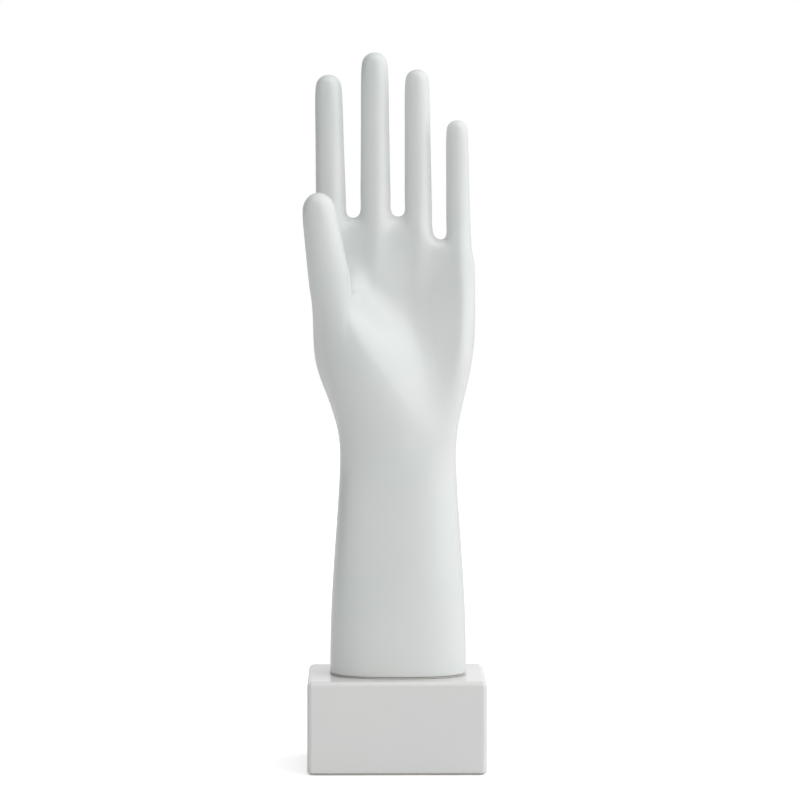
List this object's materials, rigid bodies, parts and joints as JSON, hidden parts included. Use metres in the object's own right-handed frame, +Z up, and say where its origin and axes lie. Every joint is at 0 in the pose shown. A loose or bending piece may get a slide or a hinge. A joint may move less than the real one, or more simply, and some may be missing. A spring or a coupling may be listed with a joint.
{
  "type": "ceramic hand sculpture",
  "caption": "Upright left hand and forearm in white glazed porcelain, palm forward with the thumb in front, bolted to a hollow glazed plinth.",
  "frame": {"origin": "centre of the felt's underside, where the sculpture rests", "axes": "+Z up through the fingertips, -Y out of the palm towards the viewer, +X towards the little finger"},
  "size_m": [0.1038, 0.0871, 0.408],
  "materials": {
    "glazed_porcelain": "clear gloss glaze over white porcelain",
    "plinth_glaze": "clear gloss glaze over white porcelain",
    "rubber": "matt",
    "silicone": "translucent white, satin",
    "nylon": "turned, satin",
    "zinc_steel": "zinc plated",
    "board": "pressed hardboard",
    "felt": "pressed undyed wool felt"
  },
  "bodies": {
    "root": {"hand": "glazed_porcelain", "foot_gasket": "silicone", "plinth": "plinth_glaze", "centring_bush": "nylon", "clamp_washer": "zinc_steel", "clamp_nut": "zinc_steel", "tie_rod": "zinc_steel", "cushion_ring": "rubber", "anchor_bar": "zinc_steel", "anchor_washer": "zinc_steel", "anchor_nut": "zinc_steel", "base_board": "board", "felt_base": "felt"}
  },
  "joints": []
}
